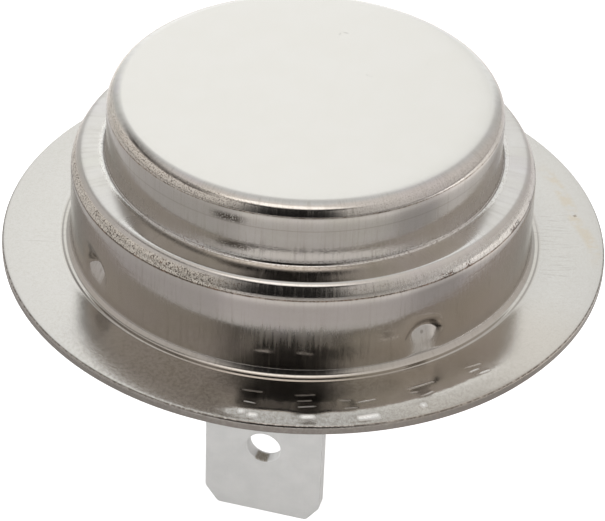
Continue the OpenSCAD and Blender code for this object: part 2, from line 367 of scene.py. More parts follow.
# Each drawn stretch as (length along the sheet, slope below level in degrees)
CAP_LINE = (
    (0, 1), (0.45, 2), (0.60, 4), (0.70, 14), (0.87, 19), (1.03, 26), (1.18, 35), (1.30, 47), (1.41, 56), (1.53, 64),
    (1.64, 71.5), (1.79, 81.5), (1.89, 85), (2.2, 88), (2.5, 90.3), (2.7, 90))
STEP_LINE = (
    (0, 89), (0.31, 90.5), (0.56, 90), (0.74, 87.5), (0.86, 84.5), (0.96, 82.5), (1.06, 80.5), (1.18, 78), (1.30, 75), (1.38, 70),
    (1.43, 49), (1.48, 28), (1.53, 10), (1.62, 4), (1.75, 3), (1.9, 3.8), (2.1, 3.8), (2.3, 4), (2.42, 5), (2.55, 8.5), (2.7, 29),
    (2.85, 45.8), (3.0, 55), (3.2, 67), (3.4, 72.5), (3.7, 77.5), (4.4, 87.5))
FOOT_LINE = (
    (0, 87.5), (0.6, 88.5), (1.2, 90), (2.6, 90), (2.80, 89), (2.89, 75), (2.99, 63), (3.09, 50), (3.19, 37), (3.27, 27),
    (3.32, 10), (3.37, 4), (3.43, 4), (3.47, 22), (3.52, 22), (3.57, 3), (3.72, 1.2), (4.0, 0.6), (4.8, -0.6), (5.6, -0.8),
    (6.3, 0), (6.66, 1.5), (6.74, 10), (6.79, 34), (6.84, 62), (6.88, 84), (6.93, 90))


def run_line(start, line, gap=0.16, turn=7.0):
    """Points along a line of slopes, closer together where it turns."""
    length, slope = np.array(line, float).T
    s = np.linspace(0, length[-1], 1500)
    a = np.radians(np.interp(s, length, slope))
    ds, mid = s[1] - s[0], 0.5 * (a[1:] + a[:-1])
    r = start[0] + np.r_[0, np.cumsum(np.cos(mid)) * ds]
    z = start[1] - np.r_[0, np.cumsum(np.sin(mid)) * ds]
    w = 1 / gap + np.abs(np.gradient(np.degrees(a), s)) / turn
    w = np.r_[0, np.cumsum(0.5 * (w[1:] + w[:-1]) * ds)]
    at = np.interp(np.linspace(0, w[-1], int(math.ceil(w[-1])) + 1), w, s)
    return np.stack([np.interp(at, s, r), np.interp(at, s, z)], 1)


def cup_profile():
    """The outer line from the cap's centre to the rim, then the inner line
    back to the centre, as (radius, height)."""
    cap = run_line((8.5, CAP_H), CAP_LINE)
    cap[:, 0] += (CAP_R - cap[-1, 0]) * (1 - sstep(cap[:, 1], 7.0, CAP_H))
    step = run_line((CAP_R, 6.72), STEP_LINE, 0.2)
    step[:, 0] += (STEP_R - 0.004 - step[-1, 0]) * (1 - sstep(step[:, 1], 3.6, 4.6))
    start = (STEP_R + 0.0, 3.3)
    foot = run_line(start, FOOT_LINE, 0.3)
    foot = foot[foot[:, 0] < 13.0]
    tail = run_line(start, FOOT_LINE, 0.3, 6.0)
    outer_line = run_line(start, FOOT_LINE, 0.004, 50.0)
    fit = lambda r: float(np.interp(r, outer_line[:, 0], outer_line[:, 1]))
    p = [(r, CAP_H) for r in (0.7, 2.0, 3.6, 5.2, 6.8, 7.9)]
    p += [tuple(q) for q in cap if q[1] > 6.79]
    p += [tuple(q) for q in step if q[1] > 3.55]
    wall = outer_line[outer_line[:, 1] > 0.62]
    for z in np.r_[np.arange(3.3, 2.8, -0.12), np.arange(2.78, 2.1, -0.062), np.arange(2.08, 1.2, -0.088), np.arange(1.12, 0.7, -0.11)]:
        p.append((float(np.interp(-z, -wall[:, 1], wall[:, 0])), float(z)))
    p += [tuple(q) for q in foot if q[1] < 0.64]
    last = p[-1][0]
    p += [(float(r), fit(r)) for r in np.r_[np.arange(13.14, 13.3, 0.056), np.arange(13.3, 14.72, 0.036), np.arange(14.74, 15.12, 0.056)]]
    p += [tuple(q) for q in tail if q[0] > 15.13 and q[1] > -0.5]
    # scale the very rim so that it ends at the blank's radius
    p = np.array(p)
    k = p[:, 0] > 14.6
    end = p[-1, 0]
    p[k, 0] += (FLANGE_R - end) * sstep(p[k, 0], 14.6, end)
    z_rim = p[-1, 1]
    out = [tuple(q) for q in p]
    out += [(FLANGE_R, z_rim - 0.1), (FLANGE_R, z_rim - 0.2), (FLANGE_R - 0.006, z_rim - 0.27), (FLANGE_R - 0.02, z_rim - 0.30), (FLANGE_R - 0.05, z_rim - 0.315)]
    outer = len(out)
    under = lambda r: fit(r) - SHEET - 0.01
    z_low = z_rim - 0.325
    out += [(15.36, z_low + 0.004), (15.1, min(under(15.1), z_low + 0.1)), (14.6, under(14.6)), (13.8, under(13.8)), (13.0, under(13.0)), (12.7, under(12.7))]
    for r, z in ((12.35, -0.21), (12.1, -0.13), (11.9, 0.0), (11.72, 0.17), (11.56, 0.42), (11.44, 0.75), (11.39, 1.2)):
        out.append((r, z))
    w = STEP_R - SHEET
    out += [(w, 1.6), (w, 2.0), (w, 2.3), (w, 2.6), (w, 3.0), (w, 3.4), (w - 0.01, 4.1)]
    out += [(w - 0.09, 4.42), (w - 0.3, 4.6), (w - 0.6, 4.7)]
    out += [(10.2, STEP_H - SHEET), (9.7, STEP_H - SHEET + 0.1), (CAP_R - SHEET, STEP_H + 0.2), (CAP_R - SHEET, 7.4)]
    for k in range(1, 4):
        a = math.radians(30 * k)
        out.append((CAP_R - SHEET - 0.6 + 0.6 * math.cos(a), CAP_H - SHEET - 0.6 + 0.6 * math.sin(a)))
    out += [(5.0, CAP_H - SHEET)]
    return np.array(out), outer


def near(a, centre):
    """Degrees from a centre, from -180 to 180."""
    return (a - centre + 180) % 360 - 180


def cup_azimuths():
    """Azimuths in degrees, closer together at the stakes and the marks."""
    out, a = [], 0.0
    while a < 360 - 0.25:
        out.append(a)
        gap = 1.6
        if any(abs(near(a, s)) < 5.4 for s in STAKES):
            gap = 0.3 if abs(near(a, 0)) < 90 else 0.55
        elif any(abs(near(a, s)) < 8.5 for s in STAKES):
            gap = 0.8
        elif MARKS[0] - 4.0 < a < MARKS[-1] + 4.0:
            gap = 0.40
        a += gap
    return np.array(out)


def stake_depth(az, z):
    """How far each point of the step's wall is pressed in, in mm."""
    depth = np.zeros(np.broadcast(az, z).shape)
    for i, s in enumerate(STAKES):
        t = np.radians(near(az, s)) * STEP_R - 0.10
        # the tool's flat face leans inwards, and its end is rounded over
        top = 1.80 - 0.26 * np.clip(np.abs(t - 0.12) / 0.85, 0, 1.4) ** 2
        zc = np.minimum(z, top)
        lean = np.clip(zc - (0.28, 0.28, 0.28, 0.62)[i], 0, None)
        slope = (0.29, 0.30, 0.29, 0.45)[i] * lean ** 2 / (lean + 0.12)
        ledge = 1 - sstep(z, top - 0.06, top + (0.46, 0.42, 0.44, 0.60)[i])
        far = 1 - sstep(z, top + 0.05, 2.76 - 0.24 * t)
        d = slope * (0.58 * ledge + 0.42 * far) * np.exp(-np.abs(t / 0.95) ** 4.2)
        depth = np.maximum(depth, d + 0.020 * np.exp(-(t / 1.3) ** 2 - ((z - 2.4) / 0.7) ** 2))
    return depth


def swell(az, r):
    """Stamping the marks raised the flange round them, and it falls from
    there to the rim."""
    a = near(az, MARKS[2])
    where = sstep(a, -31, -23.5) * (1 - sstep(a, 20, 38))
    q = np.clip(r - 14.42 + 0.16 * sstep(a, -13, 12), 0, 1.4)
    fall = np.where(q < 0.3, 0.292 * q ** 2, 0.175 * (q - 0.15))
    return where * (0.14 * sstep(r, 12.5, 14.0) - fall)


# Each mark: its pad as (azimuth, radius, half width, half length, depth), then
# its bars as (azimuth, radius, half length, lean, depth), in degrees and mm
STAMPS = (
    ((5.6, 13.80, 0.56, 0.72, 0.022), (5.7, 13.29, 0.46, 0.00, 0.016), (5.8, 14.21, 0.24, 0.10, 0.018)),
    ((16.8, 13.98, 0.62, 0.76, 0.034), (16.5, 13.33, 0.44, -0.08, 0.014), (16.3, 13.79, 0.30, -0.12, 0.013), (16.7, 14.22, 0.38, -0.10, 0.014)),
    ((24.4, 14.12, 0.34, 0.40, 0.016), (28.3, 14.06, 0.42, -0.10, 0.016), (24.2, 13.86, 0.22, 0.10, 0.010), (24.9, 14.42, 0.26, 0.0, 0.010)),
    ((39.8, 14.10, 0.34, 0.42, 0.018), (40.2, 13.70, 0.68, -0.03, 0.016), (40.4, 14.34, 0.26, -0.1, 0.007), (38.0, 14.05, 0.20, 0.1, 0.007)),
    ((52.8, 13.85, 0.50, 0.60, 0.008), (53.0, 13.66, 0.36, 0.20, 0.012), (52.2, 13.97, 0.24, 0.03, 0.012), (53.4, 14.30, 0.26, 0.1, 0.007)),
)


NICKS = ((6.9, 15.00, 0.12), (16.8, 14.90, 0.22), (27.8, 15.03, 0.42), (38.4, 14.88, 0.05), (4.7, 14.86, 0.04))
# how dark each mark's pad is painted
PAD_DARKENING = (0.85, 0.97, 0.18, 0.45, 0.12)


def mark_tone(az, r):
    """How dark the stamped pads are painted, and the painted glints: much lighter metal on their bars and on the nicks.
    """
    pad_darkening = np.zeros(np.broadcast(az, r).shape)
    painted_glint = np.zeros_like(pad_darkening)
    for i, (pad, *bars) in enumerate(STAMPS):
        pa, pr, wide, long, _ = pad
        t = np.radians(near(az, pa)) * pr
        pad_darkening = np.maximum(pad_darkening, PAD_DARKENING[i] * np.exp(-np.abs(t / wide) ** 5 - np.abs((r - pr) / long) ** 5))
        for ba, br, half, lean, _ in bars:
            u = np.radians(near(az, ba)) * br
            d = np.hypot(r - br - lean * u, np.maximum(np.abs(u) - half, 0))
            painted_glint = np.maximum(painted_glint, 0.5 - 0.5 * sstep(d, 0.030, 0.085))
    for na, nr, half in NICKS:
        u = np.radians(near(az, na)) * nr
        d = np.hypot(r - nr + 0.05 * u, np.maximum(np.abs(u) - half, 0))
        painted_glint = np.maximum(painted_glint, 1 - sstep(d, 0.03, 0.19))
    return pad_darkening, painted_glint


def mark_relief(az, r):
    """Plain stamped marks: a few short bars across each shallow pad, and the
    metal pushed out a little behind it. Heights in mm."""
    rise = np.zeros(np.broadcast(az, r).shape)
    for i, (pad, *bars) in enumerate(STAMPS):
        pa, pr, wide, long, sunk = pad
        t = np.radians(near(az, pa)) * pr
        rise -= sunk * np.exp(-np.abs(t / wide) ** 4 - np.abs((r - pr) / long) ** 4)
        for ba, br, half, lean, deep in bars:
            u = np.radians(near(az, ba)) * br
            across = r - br - lean * u
            d = np.hypot(across, np.maximum(np.abs(u) - half, 0))
            rise -= deep * np.clip(1 - d / 0.060, 0, 1)
            rise += 0.003 * np.exp(-((d - 0.10) / 0.045) ** 2)
        # the metal gave way between the mark and the rim
        give = np.exp(-((t - (-0.25, 0.05, 0.45, -0.40, 0.0)[i]) / (0.75, 0.42, 0.55, 0.16, 0.3)[i]) ** 4)
        rise -= (0.026, 0.030, 0.026, 0.022, 0.006)[i] * give * sstep(r, (14.80, 14.72, 14.78, 14.56, 14.7)[i], (15.08, 15.02, 15.08, 14.80, 15.0)[i])
    # small nicks left by the tool's corners
    for na, nr, half in NICKS:
        u = np.radians(near(az, na)) * nr
        d = np.hypot(r - nr + 0.05 * u, np.maximum(np.abs(u) - half, 0))
        rise -= 0.020 * np.clip(1 - d / 0.12, 0, 1)
    # the blows left the metal round the marks uneven
    zone = np.exp(-((r - 14.2) / 0.6) ** 2) * sstep(near(az, 0), -14, -2) * (1 - sstep(near(az, 0), 58, 70))
    q = np.radians(az) * 14.0
    rise += zone * (0.0016 * np.sin(5.1 * q + 3.0 * r) + 0.0012 * np.sin(8.7 * q - 6.1 * r + 1.0) + 0.0008 * np.sin(15.0 * q + 9.0 * r))
    return rise


def make_cup():
    prof, outer = cup_profile()
    azs = cup_azimuths()
    M, N = len(prof), len(azs)
    rr, zz = prof[:, 0][:, None] * np.ones((1, N)), prof[:, 1][:, None] * np.ones((1, N))
    A = np.broadcast_to(azs[None], (M, N))
    idx = np.arange(M)[:, None] * np.ones((1, N))
    wall = (zz < 3.6) & (zz > 0.30) & (rr < 12.2) & (idx < outer)
    rr = rr - np.where(wall, stake_depth(A, zz) * sstep(zz, 0.30, 0.62), 0)
    inner = (idx >= outer) & (zz > 0.3) & (zz < 3.6) & (rr > 11)
    rr = rr - np.where(inner, 0.92 * stake_depth(A, zz - 0.1) * (1 - 0.8 * sstep(zz, 2.7, 3.0)), 0)
    flat = (idx < outer) & (rr > 12.9) & (rr < 15.4) & (zz < 0.3)
    zz = zz + np.where(flat, mark_relief(A, rr) * sstep(rr, 12.9, 13.1) * (1 - sstep(rr, 15.2, 15.4)), 0)
    pad_darkening, painted_glint = mark_tone(A, rr)
    pad_darkening, painted_glint = pad_darkening * flat, painted_glint * flat
    # the sheet is never quite flat: the flange waves by a few hundredths
    ar = np.radians(A)
    wave = 0.012 * np.sin(2 * ar + 0.7) + 0.008 * np.sin(3 * ar - 1.1) + 0.005 * np.sin(7 * ar + 2.0)
    out = sstep(rr, 12.4, 15.5)
    zz = zz - out * (wave + 0.025) * (rr > 12.4) + np.where((rr > 12.5) & (zz < 0.3), swell(A, rr), 0)
    rr = rr + TRIM_OFF * np.cos(np.radians(A - TRIM_AZ)) * sstep(rr, 13.2, FLANGE_R) * (zz < 0.3)
    verts = np.stack([rr * np.sin(ar), -rr * np.cos(ar), zz], -1).reshape(-1, 3)
    top, under = len(verts), len(verts) + 1
    verts = np.vstack([verts, [[0, 0, CAP_H], [0, 0, CAP_H - SHEET]]]) * MM
    j, i = np.meshgrid(np.arange(M - 1), np.arange(N), indexing="ij")
    i2 = (i + 1) % N
    quads = np.stack([j * N + i, (j + 1) * N + i, (j + 1) * N + i2, j * N + i2], -1).reshape(-1, 4)
    faces = [tuple(q) for q in quads.tolist()]
    for k in range(N):
        k2 = (k + 1) % N
        faces.append((top, k, k2))
        faces.append((under, (M - 1) * N + k2, (M - 1) * N + k))
    me = bpy.data.meshes.new("sensor_cup_sheet")
    me.from_pydata(verts.tolist(), [], faces)
    me.polygons.foreach_set("use_smooth", [True] * len(me.polygons))
    me.update()
    for name, values in (("pad_darkening", pad_darkening), ("painted_glint", painted_glint)):
        tone = me.attributes.new(name, "FLOAT", "POINT")
        tone.data.foreach_set("value", np.r_[values.ravel(), 0.0, 0.0].astype(np.float32))
    ob = bpy.data.objects.new("sensor_cup_sheet", me)
    scene.collection.objects.link(ob)
    return ob


cup = make_cup()


def nickel():
    mat, t, b = material("nickel_plated_sheet")
    p, x, y, z, az, r = place(t)
    ca, sa = t.m("COSINE", az), t.m("SINE", az)
    run = t.m("SUBTRACT", z, r)  # distance along the draw direction
    lines_v = t.xyz(ca, sa, t.m("MULTIPLY", run, 0.0045))
    fine = t.noise(lines_v, 95, 4, 0.62)
    broad = t.noise(lines_v, 18, 3, 0.55)
    sheet = t.noise(p, 0.55, 3, 0.55)
    mottle = t.noise(p, 2.6, 4, 0.6)
    grit = t.noise(p, 26, 3, 0.6)
    dots = t.noise(p, 13.0, 1, 0.6)
    grain = t.noise(p, 15.0, 1, 0.6)
    aside = t.m("ABSOLUTE", t.m("SUBTRACT", az, math.radians(TURN)))
    mid = t.sm(aside, 0.19, 0.40, 1.0, 0.0)

    def belt(lo, hi, soft, r_lo, r_hi):
        """1 between two heights and two radii."""
        k = t.m("MULTIPLY", t.sm(z, lo - soft, lo + soft), t.sm(z, hi - soft, hi + soft, 1, 0))
        return t.m("MULTIPLY", k, t.m("MULTIPLY", t.sm(r, r_lo - 0.03, r_lo), t.sm(r, r_hi, r_hi + 0.03, 1, 0)))

    def ring(level, half, r_lo, r_hi):
        k = t.sm(t.m("ABSOLUTE", t.m("SUBTRACT", z, level)), half * 0.3, half, 1, 0)
        return t.m("MULTIPLY", k, t.m("MULTIPLY", t.sm(r, r_lo - 0.03, r_lo), t.sm(r, r_hi, r_hi + 0.03, 1, 0)))

    # which zone: end wall of the cap, walls, flange
    on_top = t.sm(z, 8.45, 8.52)
    flange = t.m("MULTIPLY", t.sm(r, 12.2, 12.5), t.sm(z, 0.25, 0.05))
    ledge = belt(5.02, 5.30, 0.04, 10.32, 11.5)
    drawn = t.m("SUBTRACT", 1.0, on_top)
    # rolling grain of the sheet on the cap's end wall
    ga = math.radians(TURN + 4)
    gx = t.m("ADD", t.m("MULTIPLY", x, math.cos(ga)), t.m("MULTIPLY", y, math.sin(ga)))
    gy = t.m("SUBTRACT", t.m("MULTIPLY", y, math.cos(ga)), t.m("MULTIPLY", x, math.sin(ga)))
    roll = t.noise(t.xyz(t.m("MULTIPLY", gx, 0.06), t.m("MULTIPLY", gy, 1.0), z), 5.5, 5, 0.6)
    # plating strained and pitted where the sheet went over the bends
    cap_b = belt(7.90, 8.36, 0.05, 9.3, 10.0)
    step_b = belt(4.47, 4.98, 0.05, 11.15, 11.9)
    neck_b = belt(5.24, 5.52, 0.03, 9.9, 10.36)
    # thin marks left round the wall by the drawing tools; the two lines in the neck's fillet are painted shade
    left = t.sm(az, -0.16, 0.12, 1.0, 0.0)
    cap_w = t.m("MULTIPLY", cap_b, t.m("ADD", 0.22, t.m("MULTIPLY", left, 0.45)))
    step_w = t.m("MULTIPLY", step_b, t.m("ADD", 0.34, t.m("MULTIPLY", left, 0.66)))
    pit_zone = t.m("MAXIMUM", t.m("MAXIMUM", cap_w, step_w), t.m("MULTIPLY", neck_b, 0.6))
    broken = t.sm(t.noise(t.xyz(ca, sa, z), 16.0, 3, 0.7), 0.44, 0.60)
    step_line = ring(4.455, 0.062, 11.4, 11.9)
    cap_line = ring(7.92, 0.050, 9.6, 10.0)
    neck_shade_line = ring(5.372, 0.022, 9.9, 10.4)
    neck_shade_low = ring(5.288, 0.020, 9.9, 10.4)
    faint_line = ring(7.17, 0.045, 9.8, 10.0)
    worn_step = t.m("MULTIPLY", step_line, t.m("MAXIMUM", left, t.m("ADD", 0.80, t.m("MULTIPLY", broken, 0.20))))
    worn_cap = t.m("MULTIPLY", cap_line, t.m("ADD", 0.30, t.m("MULTIPLY", broken, 0.60)))
    worn = t.m("MAXIMUM", worn_step, worn_cap)
    patch = t.sm(t.noise(t.xyz(ca, sa, t.m("MULTIPLY", z, 0.03)), 7.0, 3, 0.6), 0.40, 0.62)
    th = t.m("ADD", t.m("MULTIPLY", worn, 0.20), t.m("MULTIPLY", pit_zone, t.m("ADD", 0.045, t.m("MULTIPLY", patch, 0.07))))
    # rusty clusters here and there above the step's line, on the right
    spots_at = t.sm(t.noise(t.xyz(ca, sa, 0.0), 9.0, 1, 0.5), 0.52, 0.60)
    cluster = t.m("MULTIPLY", t.m("MULTIPLY", spots_at, belt(4.40, 4.72, 0.05, 11.3, 11.9)), t.sm(az, 0.55, 0.8))
    th = t.m("ADD", th, t.m("MULTIPLY", cluster, 0.15))
    pit = t.sm(t.m("ADD", dots, th), 0.655, 0.70)
    pit = t.m("MULTIPLY", pit, t.m("MAXIMUM", t.m("MAXIMUM", pit_zone, cluster), t.m("MAXIMUM", worn, t.m("MULTIPLY", cap_line, 0.6))))
    rust = t.sm(t.noise(p, 1.7, 3, 0.6), 0.50, 0.66)
    # colours
    base = t.mix(t.sm(sheet, 0.35, 0.65), (0.543, 0.512, 0.470), (0.558, 0.528, 0.494))
    # the drawn walls shift a little between olive and lilac
    hue = t.noise(t.xyz(t.m("MULTIPLY", ca, 4.0), t.m("MULTIPLY", sa, 4.0), t.m("MULTIPLY", z, 0.5)), 0.8, 3, 0.6)
    base = t.mix(t.m("MULTIPLY", t.sm(hue, 0.52, 0.70), t.m("MULTIPLY", drawn, 0.55)), base, (0.548, 0.508, 0.502))
    base = t.mix(t.m("MULTIPLY", t.sm(hue, 0.48, 0.30), t.m("MULTIPLY", drawn, 0.50)), base, (0.520, 0.502, 0.440))
    base = t.mix(t.m("MULTIPLY", t.sm(fine, 0.48, 0.70), t.m("SUBTRACT", t.m("MULTIPLY", drawn, 0.32), t.m("MULTIPLY", t.m("MAXIMUM", flange, ledge), 0.24))), base, (0.42, 0.385, 0.34))
    base = t.mix(t.m("MULTIPLY", t.sm(broad, 0.52, 0.72), t.m("MULTIPLY", drawn, 0.16)), base, (0.44, 0.41, 0.37))
    base = t.mix(t.m("MULTIPLY", t.sm(mottle, 0.56, 0.75), 0.08), base, (0.52, 0.47, 0.42))
    base = t.mix(t.m("MULTIPLY", flange, 0.85), base, (0.462, 0.435, 0.400))
    base = t.mix(t.m("MULTIPLY", on_top, 0.70), base, (0.540, 0.509, 0.466))
    # painted shade: the bend into the flange is darkened; the flange in front is grainy
    foot = t.m("MULTIPLY", t.m("MULTIPLY", t.sm(r, 11.80, 11.95), t.sm(r, 12.28, 12.45, 1, 0)), t.sm(z, 0.50, 0.36))
    base = t.mix(t.m("MULTIPLY", foot, t.sm(fine, 0.20, 0.90, 0.36, 0.46)), base, (0.26, 0.23, 0.20))
    sand = t.noise(p, 6.0, 2, 0.6)
    sandy = t.m("MULTIPLY", flange, t.sm(aside, 0.45, 1.0, 1.0, 0.12))
    base = t.mix(t.m("MULTIPLY", sandy, t.sm(sand, 0.44, 0.62, 0.0, 0.40)), base, (0.27, 0.24, 0.20))
    # browner low on the walls and on the front right of the flange, pinker above
    low = t.m("MULTIPLY", t.sm(r, 11.4, 11.6), t.sm(z, 2.9, 2.0, 0.0, 1.0))
    base = t.mix(t.m("MULTIPLY", t.m("MULTIPLY", low, drawn), t.m("MULTIPLY", t.m("SUBTRACT", 1.0, flange), 0.30)), base, (0.525, 0.482, 0.420))
    band = belt(3.0, 4.3, 0.35, 11.5, 11.9)
    base = t.mix(t.m("MULTIPLY", band, 0.45), base, (0.550, 0.495, 0.478))
    right = t.sm(az, 0.60, 0.95)
    base = t.mix(t.m("MULTIPLY", t.m("MULTIPLY", flange, t.sm(az, 0.35, 0.70)), t.sm(aside, 0.95, 1.25, 0.55, 0.0)), base, (0.440, 0.392, 0.335))
    base = t.mix(t.m("MULTIPLY", t.m("MULTIPLY", step_b, right), 0.36), base, (0.730, 0.720, 0.695))
    # specks all over, denser in the strained belts
    speck = t.m("MULTIPLY", t.sm(grain, 0.50, 0.66), t.m("ADD", 0.06, t.m("ADD", t.m("MULTIPLY", pit_zone, 0.72), t.m("MULTIPLY", flange, t.sm(aside, 0.4, 0.95, 0.26, 0.05)))))
    strained = t.mix(neck_b, (0.860, 0.800, 0.705), (0.640, 0.628, 0.606))
    base = t.mix(t.m("MULTIPLY", pit_zone, t.m("ADD", 0.30, t.m("MULTIPLY", left, 0.45))), base, strained)
    base = t.mix(speck, base, (0.26, 0.215, 0.17))
    base = t.mix(t.m("MULTIPLY", worn, 0.72), base, (0.22, 0.165, 0.115))
    base = t.mix(t.m("MULTIPLY", faint_line, 0.30), base, (0.30, 0.26, 0.22))
    # painted shade: two dark lines in the neck's fillet, on the sides only
    base = t.mix(t.m("MULTIPLY", neck_shade_line, t.sm(aside, 0.6, 1.1, 0.35, 0.85)), base, (0.17, 0.14, 0.12))
    base = t.mix(t.m("MULTIPLY", neck_shade_low, t.sm(aside, 0.85, 1.1, 0.0, 0.75)), base, (0.20, 0.18, 0.165))
    pit_col = t.mix(rust, (0.060, 0.045, 0.035), (0.19, 0.095, 0.055))
    base = t.mix(t.m("MULTIPLY", pit, 0.82), base, pit_col)
    # painted reflection: a dark line along the cap's upper bend, on the left, carrying the dark reflection in front
    # further round
    lz = t.m("ADD", 8.372, t.m("MULTIPLY", t.m("ADD", az, math.radians(57 - TURN)), -0.13 / math.radians(31)))
    painted_dark_reflection = t.m("MULTIPLY", t.sm(az, math.radians(TURN - 70), math.radians(TURN - 58)), t.sm(az, math.radians(TURN - 32), math.radians(TURN - 20), 1.0, 0.0))
    painted_dark_reflection = t.m("MULTIPLY", painted_dark_reflection, t.sm(t.m("ABSOLUTE", t.m("SUBTRACT", z, lz)), 0.010, 0.046, 1.0, 0.0))
    base = t.mix(t.m("MULTIPLY", painted_dark_reflection, t.m("ADD", 0.58, t.m("MULTIPLY", broken, 0.34))), base, (0.09, 0.075, 0.065))
    # two speckled smudges on the cap's wall
    smudge = t.m("MAXIMUM",
                 t.m("MULTIPLY", t.sm(t.m("ABSOLUTE", t.m("ADD", az, 0.105)), 0.03, 0.12, 1, 0), belt(7.22, 7.62, 0.14, 9.6, 10.2)),
                 t.m("MULTIPLY", t.sm(t.m("ABSOLUTE", t.m("ADD", az, 0.070)), 0.03, 0.13, 1, 0), belt(5.72, 6.05, 0.14, 9.6, 10.2)))
    base = t.mix(t.m("MULTIPLY", t.m("MULTIPLY", smudge, t.sm(t.m("ADD", grain, t.m("MULTIPLY", fine, 0.35)), 0.52, 0.66)), 0.95), base, (0.10, 0.085, 0.07))
    # a faint brown tide mark on the flange, near the rim, with one dark spot
    track = t.m("ADD", 14.35, t.sm(az, math.radians(114), math.radians(98), 0.0, 0.85))
    st = t.m("MULTIPLY", t.sm(az, math.radians(94), math.radians(103)), t.sm(az, math.radians(124), math.radians(134), 1.0, 0.0))
    st = t.m("MULTIPLY", st, t.sm(t.m("ABSOLUTE", t.m("SUBTRACT", r, track)), 0.10, 0.50, 1, 0))
    st = t.m("MULTIPLY", t.m("MULTIPLY", st, flange), t.sm(t.noise(p, 1.1, 4, 0.65), 0.36, 0.60))
    base = t.mix(t.m("MULTIPLY", st, 0.42), base, (0.46, 0.37, 0.25))
    sx, sy = 14.45 * math.sin(math.radians(112.6)), -14.45 * math.cos(math.radians(112.6))
    fly = t.m("ADD", t.m("ABSOLUTE", t.m("SUBTRACT", x, sx)), t.m("ABSOLUTE", t.m("SUBTRACT", y, sy)))
    base = t.mix(t.m("MULTIPLY", t.m("MULTIPLY", t.sm(fly, 0.08, 0.16, 1, 0), flange), 0.6), base, (0.16, 0.12, 0.08))
    # a few faint ticks on the cap's end wall
    for tx, ty, wx, wy, deep in ((0.47, 5.90, 0.16, 0.05, 0.30), (0.20, 5.72, 0.05, 0.13, 0.22), (2.49, 2.38, 0.05, 0.05, 0.40), (2.70, 2.30, 0.11, 0.03, 0.18), (-3.6, -1.9, 0.10, 0.04, 0.14), (5.1, 4.4, 0.06, 0.09, 0.12)):
        ex = t.m("DIVIDE", t.m("SUBTRACT", x, tx), wx)
        ey = t.m("DIVIDE", t.m("SUBTRACT", y, ty), wy)
        tick = t.sm(t.m("ADD", t.m("MULTIPLY", ex, ex), t.m("MULTIPLY", ey, ey)), 0.4, 1.4, 1, 0)
        base = t.mix(t.m("MULTIPLY", t.m("MULTIPLY", tick, on_top), deep), base, (0.26, 0.24, 0.21))
    # handling scratches on the flange, to the left and the right
    a0 = math.radians(TURN)
    x2 = t.m("ADD", t.m("MULTIPLY", x, math.cos(a0)), t.m("MULTIPLY", y, math.sin(a0)))
    y2 = t.m("SUBTRACT", t.m("MULTIPLY", y, math.cos(a0)), t.m("MULTIPLY", x, math.sin(a0)))
    lines = t.noise(t.xyz(t.m("MULTIPLY", x2, 0.10), y2, 0.0), 7.0, 2, 0.6)
    spots = t.m("ADD", t.m("MULTIPLY", t.sm(x2, 11.6, 12.6), t.m("MULTIPLY", t.sm(x2, 13.6, 14.3, 1, 0), t.sm(t.m("ABSOLUTE", t.m("ADD", y2, 0.6)), 2.4, 4.0, 1, 0))),
                t.m("MULTIPLY", t.m("MULTIPLY", t.sm(x2, -11.9, -12.3), t.sm(x2, -14.4, -13.9)), t.sm(t.m("ABSOLUTE", t.m("ADD", y2, 1.6)), 0.3, 0.8, 1, 0)))
    scratch = t.m("MULTIPLY", t.m("MULTIPLY", spots, flange), t.sm(lines, 0.56, 0.64))
    base = t.mix(t.m("MULTIPLY", scratch, 0.22), base, (0.30, 0.28, 0.25))
    # painted shade under the ledge at the top of each stake's dent, and the dot of the tool's point in each
    for i, s_az in enumerate(STAKES):
        across = t.m("MULTIPLY", t.m("SUBTRACT", az, math.radians(near(s_az, 0) + 0.7)), STEP_R)
        arch = t.m("ADD", z, t.m("MULTIPLY", t.m("MULTIPLY", across, across), 0.30))
        ledge_shade = t.m("MULTIPLY", t.sm(t.m("ABSOLUTE", t.m("SUBTRACT", arch, 2.16)), 0.06, 0.34, 1, 0), t.sm(t.m("ABSOLUTE", t.m("SUBTRACT", across, 0.12)), 0.35, 0.95, 1, 0))
        dx, dz = t.m("SUBTRACT", across, 0.0), t.m("SUBTRACT", z, 1.42)
        dot = t.sm(t.m("SQRT", t.m("ADD", t.m("MULTIPLY", dx, dx), t.m("MULTIPLY", dz, dz))), 0.05, 0.13, 1, 0)
        on_wall = t.m("MULTIPLY", t.sm(r, 11.95, 12.05, 1, 0), t.sm(r, 10.6, 10.8))
        # painted shade: a dark arch under each dent's ledge
        base = t.mix(t.m("MULTIPLY", t.m("MULTIPLY", ledge_shade, on_wall), (0.55, 0.78, 0.55, 0.35)[i]), base, (0.10, 0.075, 0.055))
        base = t.mix(t.m("MULTIPLY", t.m("MULTIPLY", dot, on_wall), (0.5, 0.72, 0.5, 0.2)[i]), base, (0.15, 0.12, 0.10))
    # the stamped pads painted dark, and painted glints: the bars and the nicks made much lighter
    pad_darkening = t.add("ShaderNodeAttribute", attribute_type="GEOMETRY", attribute_name="pad_darkening").outputs["Fac"]
    painted_glint = t.add("ShaderNodeAttribute", attribute_type="GEOMETRY", attribute_name="painted_glint").outputs["Fac"]
    pad_darkening = t.m("MULTIPLY", pad_darkening, t.sm(t.m("ADD", grain, t.m("MULTIPLY", fine, 0.4)), 0.46, 0.62, 1.0, 0.80))
    base = t.mix(t.m("MULTIPLY", pad_darkening, 0.93), base, (0.035, 0.030, 0.027))
    # painted highlight: the glints on the bars and the nicks
    base = t.mix(t.sm(painted_glint, 0.0, 0.5, 0.0, 0.85), base, (0.74, 0.71, 0.67))
    base = t.mix(t.m("MULTIPLY", t.sm(painted_glint, 0.5, 0.95), t.sm(grain, 0.38, 0.54, 0.45, 1.0)), base, (0.96, 0.94, 0.90))
